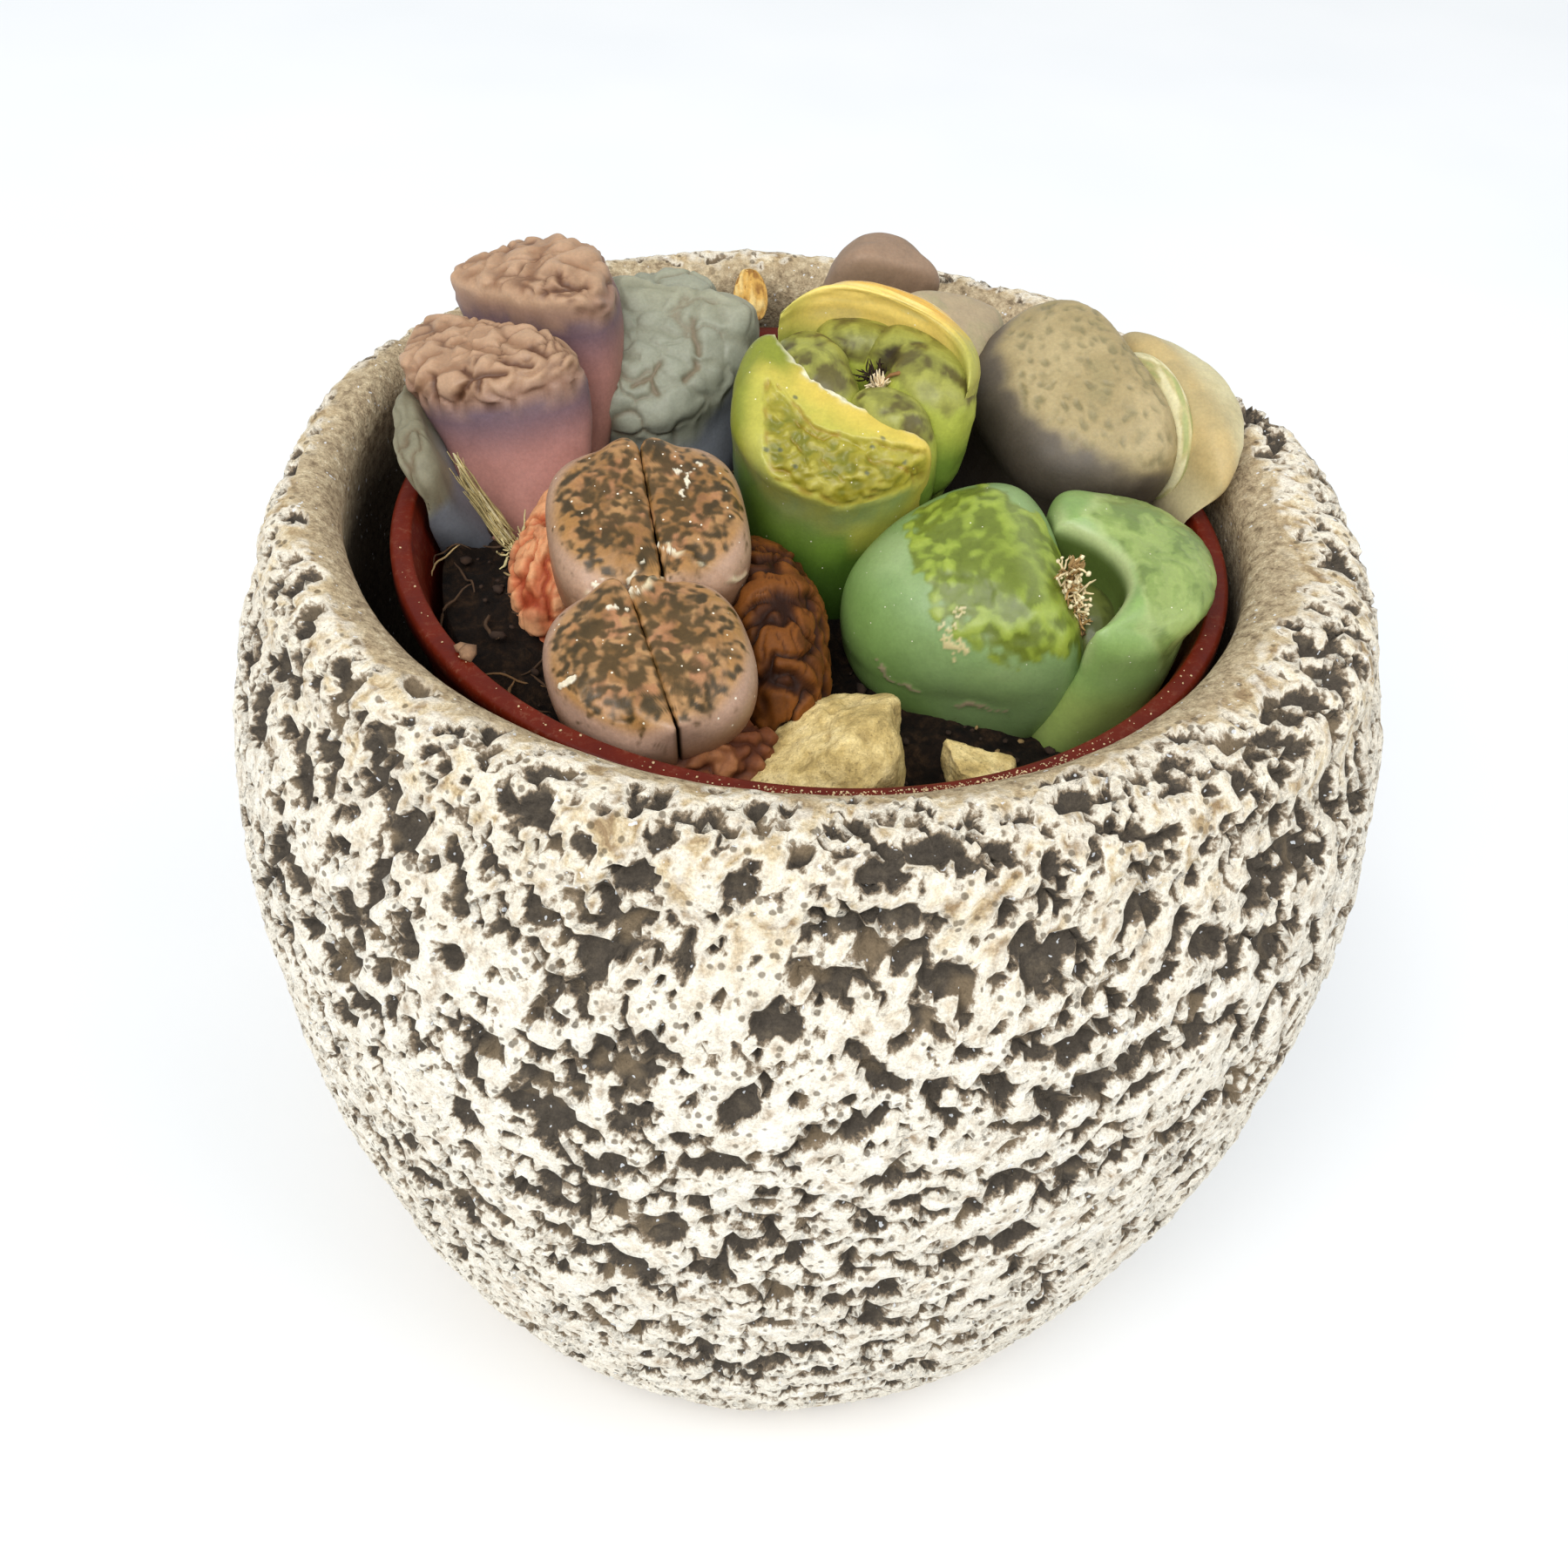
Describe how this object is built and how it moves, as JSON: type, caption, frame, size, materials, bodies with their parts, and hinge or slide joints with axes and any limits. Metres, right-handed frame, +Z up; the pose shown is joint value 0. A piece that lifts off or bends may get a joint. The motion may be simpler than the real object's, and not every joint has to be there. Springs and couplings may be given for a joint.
{
  "type": "potted lithops",
  "caption": "Stone plants with furrowed, mottled and windowed heads crowded in a thin nursery pot, which stands inside a rounded pitted cement pot.",
  "frame": {"origin": "centre of the cement pot's base, on the surface that it stands on", "axes": "+Z up, -Y towards the viewer, +X to the viewer's right"},
  "size_m": [0.079, 0.079, 0.0779],
  "materials": {
    "cement": "cast cement, matt, deeply pitted, with a smoother tan lip",
    "nursery_plastic": "red-brown moulded plastic, slightly glossy, dusty",
    "soil": "dark fibrous potting soil, matt",
    "brown_leaf": "tan-orange window with dark olive-brown blotches, waxy",
    "pink_leaf": "furrowed tan face over a mauve-pink side, waxy",
    "slate_leaf": "furrowed blue-grey face over a slate side, waxy",
    "yellow_leaf": "yellow-green, sunken window with an ochre outline, waxy",
    "green_leaf": "fresh green with a mottled yellow-green window, glossy",
    "tan_leaf": "tan-green with fine grey-green dots, waxy",
    "mauve_leaf": "mottled mauve-grey, waxy",
    "old_leaf": "salmon-red to tan, lumpy and half dry",
    "new_leaf": "olive-green mottled young leaf, glossy",
    "dry_flower": "dried flower remains, cream to brown, matt",
    "dry_skin": "papery dry skin, straw yellow, matt",
    "pebble": "sandy ochre gravel, matt",
    "root": "woody tap root, matt"
  },
  "bodies": {
    "root": {"stone_pot": "cement", "nursery_pot": "nursery_plastic", "soil": "soil", "brown_upper_leaf_right": "brown_leaf", "brown_upper_leaf_left": "brown_leaf", "brown_lower_leaf_right": "brown_leaf", "brown_lower_leaf_left": "brown_leaf", "pink_leaf_near": "pink_leaf", "pink_leaf_far": "pink_leaf", "slate_leaf_near": "slate_leaf", "slate_leaf_far": "slate_leaf", "small_slate_leaf_outer": "slate_leaf", "small_slate_leaf_inner": "slate_leaf", "yellow_old_leaf_front": "yellow_leaf", "yellow_old_leaf_back": "yellow_leaf", "green_leaf_left": "green_leaf", "green_leaf_right": "green_leaf", "tan_leaf_near": "tan_leaf", "tan_leaf_far": "tan_leaf", "mauve_leaf_far": "mauve_leaf", "mauve_leaf_near": "mauve_leaf", "brown_old_leaf_left": "old_leaf", "brown_old_leaf_right": "old_leaf", "brown_old_leaf_front": "old_leaf", "yellow_new_leaf_left": "new_leaf", "yellow_new_leaf_front": "new_leaf", "yellow_new_leaf_right": "new_leaf", "yellow_new_leaf_back": "new_leaf", "green_new_leaf": "new_leaf", "tan_new_leaf": "tan_leaf", "yellow_flower_stub": "dry_flower", "green_flower_stub": "dry_flower", "small_slate_dry_sheath": "dry_skin", "withered_leaf": "dry_skin", "pebble_front_large": "pebble", "pebble_front_small": "pebble", "pebble_right": "pebble", "brown_root": "root", "pink_root": "root", "slate_root": "root", "small_slate_root": "root", "yellow_root": "root", "green_root": "root", "tan_root": "root", "mauve_root": "root"}
  },
  "joints": []
}
